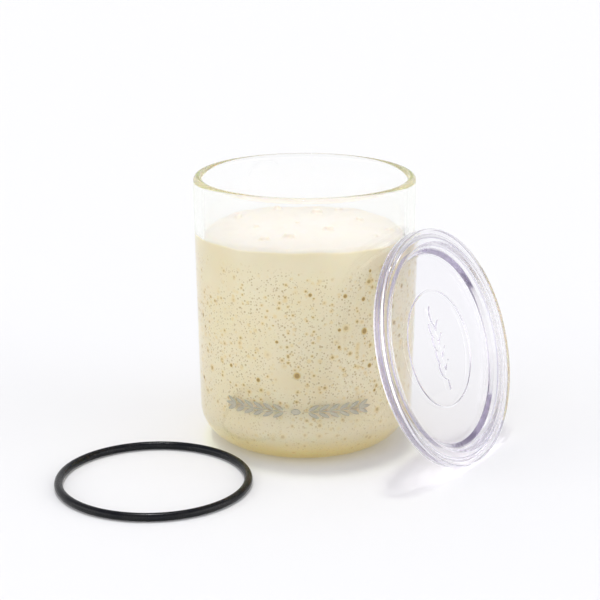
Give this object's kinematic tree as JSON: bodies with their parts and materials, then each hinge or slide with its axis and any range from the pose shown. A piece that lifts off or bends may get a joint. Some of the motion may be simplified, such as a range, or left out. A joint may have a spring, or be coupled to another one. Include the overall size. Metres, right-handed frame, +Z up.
{
  "type": "glass starter jar with lid",
  "caption": "Straight-sided clear glass jar filled with bubbly starter batter, a clear dished lid leaning on it and a black rubber level ring on the table.",
  "frame": {"origin": "middle of the jar's flat base, on the table", "axes": "+Z up along the jar's axis, -Y towards the viewer of the picture, +X to the right, where the lid leans"},
  "size_m": [0.187, 0.1447, 0.1126],
  "materials": {
    "clear_glass": "clear, polished, faint yellow-green in the thick edges",
    "starter_batter": "matt cream batter full of small bubbles",
    "clear_lid_plastic": "clear, glossy, faint lavender in the thick edges",
    "black_rubber": "satin black with a little dust"
  },
  "bodies": {
    "jar": {"glass_jar": "clear_glass", "starter": "starter_batter"},
    "lid": {"lid": "clear_lid_plastic"},
    "level_band": {"level_band": "black_rubber"}
  },
  "joints": [
    {"name": "lid_lift", "type": "slide", "parent": "jar", "child": "lid", "axis": [0.6323, -0.3166, 0.7071], "range_m": [0, 0.15]},
    {"name": "band_lift", "type": "slide", "parent": "jar", "child": "level_band", "axis": [-0.5017, -0.4982, 0.7071], "range_m": [0, 0.15]}
  ]
}
